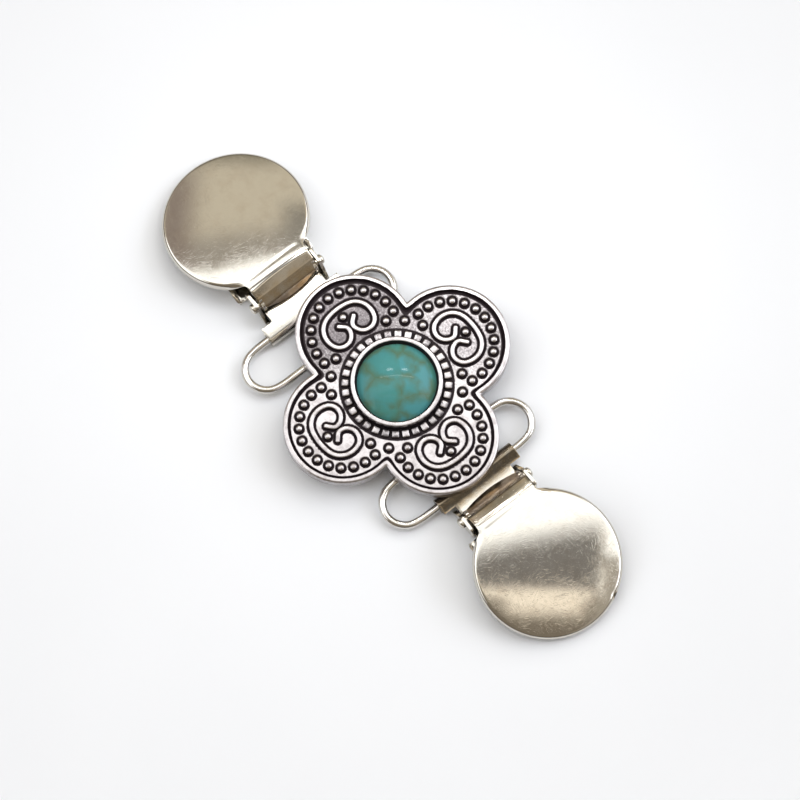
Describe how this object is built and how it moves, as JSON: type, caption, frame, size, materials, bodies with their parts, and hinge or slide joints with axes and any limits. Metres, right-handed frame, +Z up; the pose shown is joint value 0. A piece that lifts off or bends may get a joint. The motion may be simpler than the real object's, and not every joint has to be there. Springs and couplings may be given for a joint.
{
  "type": "sweater clip",
  "caption": "Sweater clip: a four-lobed cast ornament with a round cabochon, joined by wire loops to a round-faced spring clip at each end, which holds the edges of a garment.",
  "frame": {"origin": "on the surface that the clip lies on, below the middle of the ornament, which is also the middle of the object's box", "axes": "+X along the object from clip a to clip b, +Y across it towards the side where clip b sits, +Z up, square to the surface"},
  "size_m": [0.093, 0.0384, 0.0078],
  "materials": {
    "antiqued_silver": "antiqued silver plate on a cast zinc alloy, dark in the hollows and bright on the relief",
    "turquoise_stone": "polished opaque turquoise with brown matrix veins",
    "nickel_wire": "nickel-plated wire, lightly worn",
    "clip_steel": "nickel-plated steel sheet, satin with fine scratches",
    "pin_steel": "nickel-plated steel pin with peened heads",
    "face_steel": "nickel-plated steel sheet, satin with random fine scratches and a small dent"
  },
  "bodies": {
    "body": {"ornament": "antiqued_silver", "stone": "turquoise_stone", "wire_loop_a": "nickel_wire", "wire_loop_b": "nickel_wire", "clip_base_a": "clip_steel", "clip_base_b": "clip_steel", "hinge_pin_a": "pin_steel", "hinge_pin_b": "pin_steel"},
    "lever_a": {"clip_lever_a": "face_steel"},
    "lever_b": {"clip_lever_b": "face_steel"}
  },
  "joints": [
    {"name": "lever_a_hinge", "type": "hinge", "parent": "body", "child": "lever_a", "pos_m": [-0.02268, -0.0033, 0.00375], "axis": [0, 1, 0], "range_deg": [0, 85]},
    {"name": "lever_b_hinge", "type": "hinge", "parent": "body", "child": "lever_b", "pos_m": [0.02268, 0.0009, 0.00375], "axis": [0, -1, 0], "range_deg": [0, 85]}
  ]
}
